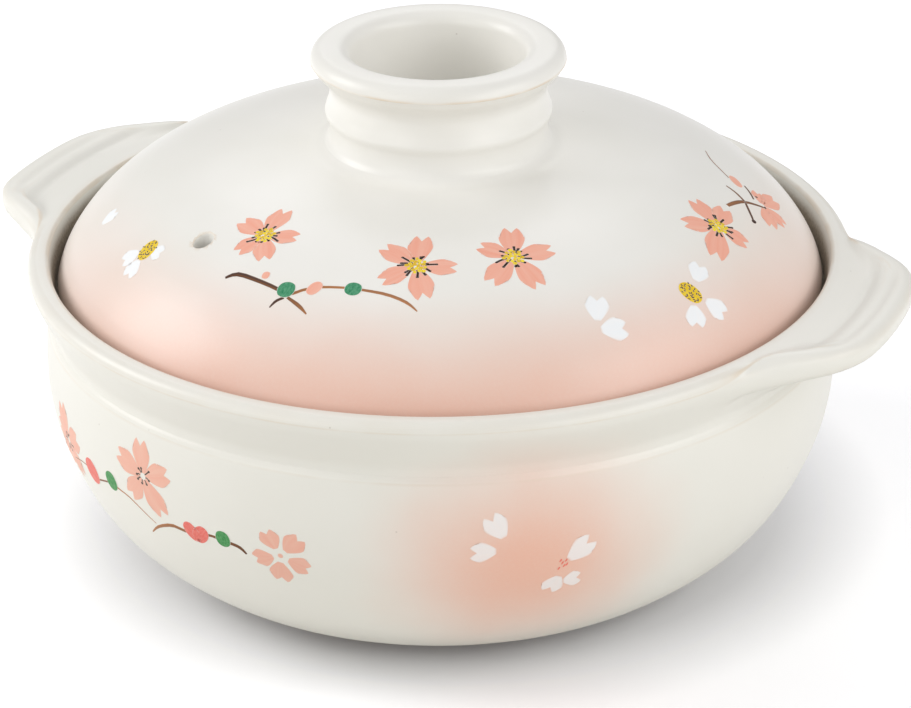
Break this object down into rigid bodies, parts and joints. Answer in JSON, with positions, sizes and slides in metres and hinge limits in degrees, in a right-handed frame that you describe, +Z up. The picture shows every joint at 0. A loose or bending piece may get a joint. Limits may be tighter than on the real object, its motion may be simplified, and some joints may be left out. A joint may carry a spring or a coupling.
{
  "type": "donabe clay pot",
  "caption": "Round stoneware cooking pot with lug handles on its rim, and a domed lid with a ring knob and a steam hole that lifts off its ledge.",
  "frame": {"origin": "centre of the foot ring, on the surface that the pot stands on", "axes": "+Z up along the pot's axis, X through the two handles, Y across them"},
  "size_m": [0.297, 0.256, 0.166],
  "materials": {
    "cream_glaze": "semi-matt cream glaze over stoneware, with a soft pink spray",
    "blossom_enamel": "pink overglaze enamel, brushed",
    "petal_enamel": "white overglaze enamel, brushed",
    "twig_enamel": "brown, green and yellow overglaze enamels, brushed"
  },
  "bodies": {
    "pot": {"pot_bowl": "cream_glaze", "left_handle": "cream_glaze", "right_handle": "cream_glaze"},
    "lid": {"lid_dome": "cream_glaze", "lid_knob": "cream_glaze"}
  },
  "joints": [
    {"name": "lid_lift", "type": "slide", "parent": "pot", "child": "lid", "axis": [0, 0, 1], "range_m": [0, 0.12]}
  ]
}
